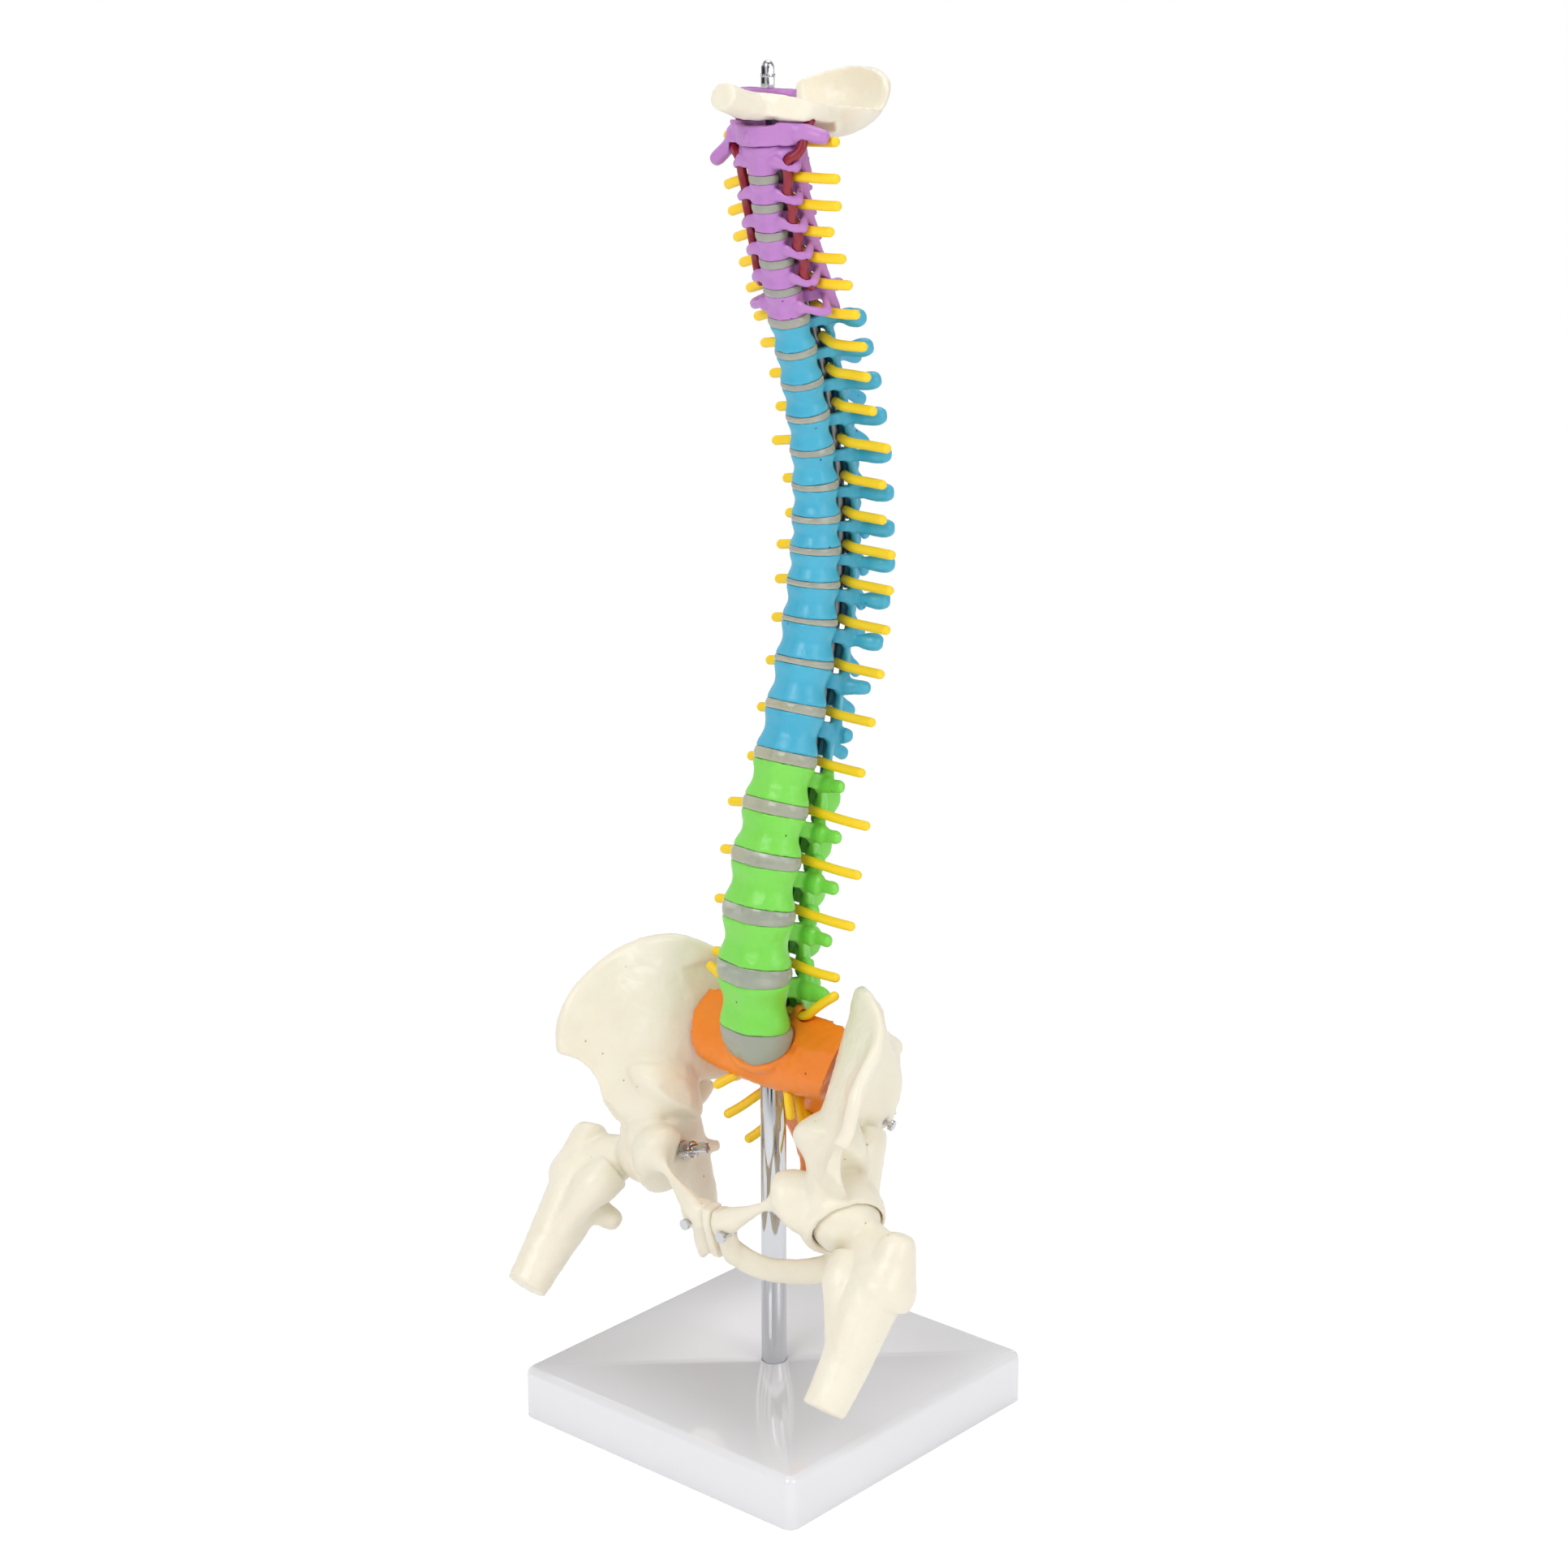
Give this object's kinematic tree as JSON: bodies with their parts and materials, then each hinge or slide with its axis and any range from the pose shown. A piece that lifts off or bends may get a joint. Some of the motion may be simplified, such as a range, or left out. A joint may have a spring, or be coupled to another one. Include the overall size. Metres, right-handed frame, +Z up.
{
  "type": "flexible spine anatomy model",
  "caption": "Life-size flexible human spine model with pelvis, occipital bone and upper thigh bones, coloured by region, on a chrome tube and a square white base.",
  "frame": {"origin": "centre of the underside of the square base, on the axis of the stand tube", "axes": "+Z up, -Y the way the skeleton faces, +X the skeleton's own left"},
  "size_m": [0.2936, 0.229, 0.8518],
  "materials": {
    "cream_bone": "satin moulded plastic",
    "purple_bone": "satin moulded plastic",
    "blue_bone": "satin moulded plastic",
    "green_bone": "satin moulded plastic",
    "orange_bone": "satin moulded plastic",
    "clear_disc": "clear soft plastic",
    "yellow_nerve": "soft plastic",
    "red_artery": "soft glossy tube",
    "core_steel": "flexible steel core",
    "chrome": "polished",
    "white_base": "gloss lacquer"
  },
  "bodies": {
    "stand_and_spine": {"vertebra_c1": "purple_bone", "vertebra_c2": "purple_bone", "vertebra_c3": "purple_bone", "vertebra_c4": "purple_bone", "vertebra_c5": "purple_bone", "vertebra_c6": "purple_bone", "vertebra_c7": "purple_bone", "vertebra_t1": "blue_bone", "vertebra_t2": "blue_bone", "vertebra_t3": "blue_bone", "vertebra_t4": "blue_bone", "vertebra_t5": "blue_bone", "vertebra_t6": "blue_bone", "vertebra_t7": "blue_bone", "vertebra_t8": "blue_bone", "vertebra_t9": "blue_bone", "vertebra_t10": "blue_bone", "vertebra_t11": "blue_bone", "vertebra_t12": "blue_bone", "vertebra_l1": "green_bone", "vertebra_l2": "green_bone", "vertebra_l3": "green_bone", "vertebra_l4": "green_bone", "vertebra_l5": "green_bone", "occipital_bone": "cream_bone", "sacrum": "orange_bone", "hip_bone_left": "cream_bone", "hip_bone_right": "cream_bone", "symphysis_disc": "cream_bone", "retaining_bar": "purple_bone", "cervical_discs": "clear_disc", "cervical_nerves": "yellow_nerve", "thoracic_discs": "clear_disc", "thoracic_nerves": "yellow_nerve", "lumbar_discs": "clear_disc", "lumbar_nerves": "yellow_nerve", "sacral_nerves": "yellow_nerve", "vertebral_artery_left": "red_artery", "vertebral_artery_right": "red_artery", "flexible_core": "core_steel", "top_lock_nut": "chrome", "top_dome_nut": "chrome", "symphysis_screws": "chrome", "sacroiliac_screws": "chrome", "base_bolt": "chrome", "stand_tube": "chrome", "tube_end_cap": "chrome", "stand_stud": "chrome", "base_block": "white_base"},
    "left_thigh_bone": {"femur_left": "cream_bone", "hip_stud_left": "chrome", "hip_washer_left": "chrome", "wing_nut_left": "chrome"},
    "right_thigh_bone": {"femur_right": "cream_bone", "hip_stud_right": "chrome", "hip_washer_right": "chrome", "wing_nut_right": "chrome"}
  },
  "joints": [
    {"name": "left_hip", "type": "hinge", "parent": "stand_and_spine", "child": "left_thigh_bone", "pos_m": [0.082, -0.027, 0.165], "axis": [0.9613, 0, -0.2756], "range_deg": [-35, 45]},
    {"name": "right_hip", "type": "hinge", "parent": "stand_and_spine", "child": "right_thigh_bone", "pos_m": [-0.082, -0.027, 0.165], "axis": [0.9613, 0, 0.2756], "range_deg": [-30, 50]}
  ]
}
